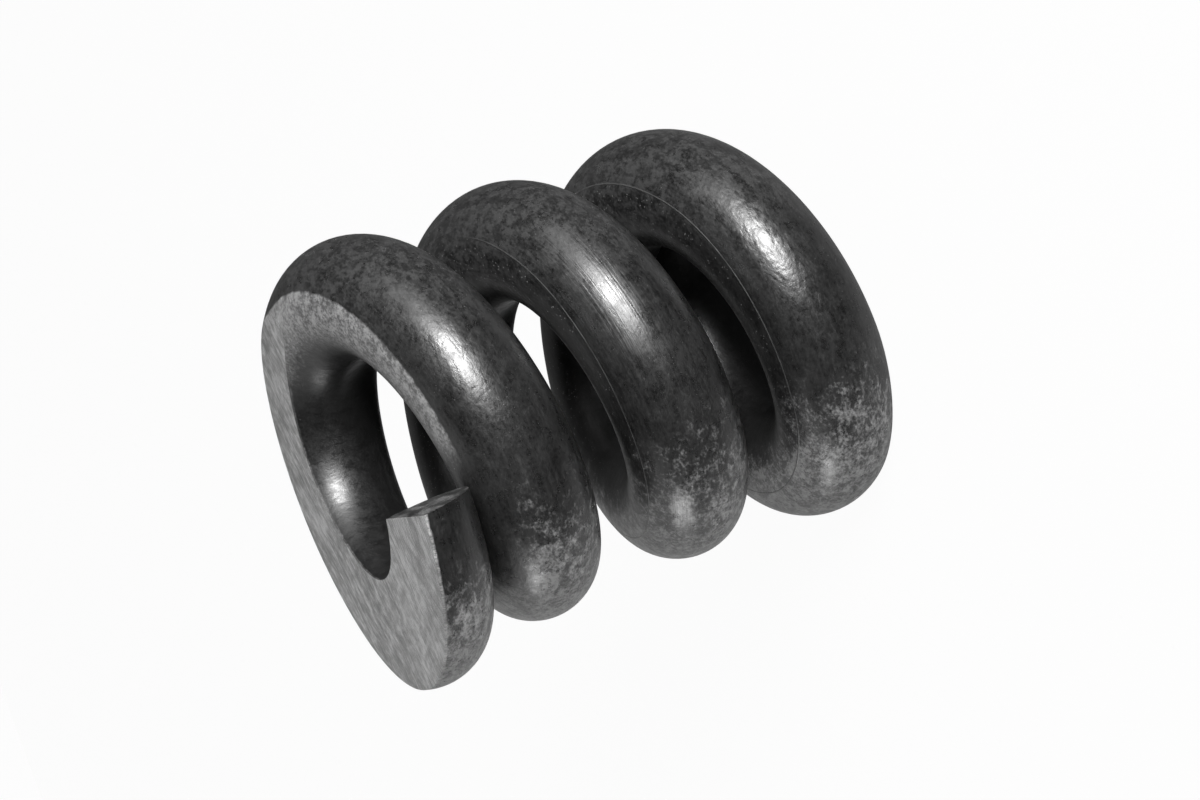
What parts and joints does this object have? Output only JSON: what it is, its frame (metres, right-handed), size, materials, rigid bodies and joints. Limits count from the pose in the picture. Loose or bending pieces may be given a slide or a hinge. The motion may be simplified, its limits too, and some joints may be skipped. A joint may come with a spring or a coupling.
{
  "type": "plunger spring",
  "caption": "Short stiff compression spring coiled from heavy round steel wire, with closed, ground end turns that seat flat under a plunger.",
  "frame": {"origin": "on the lower ground face, under the middle of the coil, where the line of a straight guide pin meets that face", "axes": "+Z along the spring, from the lower ground end to the upper one, square to both ground faces; +X and +Y lie across it, with the upper tip at about 106 degrees from +X towards -Y"},
  "size_m": [0.0305, 0.0321, 0.0348],
  "materials": {
    "blackened_steel": "satin"
  },
  "bodies": {
    "root": {"plunger_spring": "blackened_steel"}
  },
  "joints": []
}
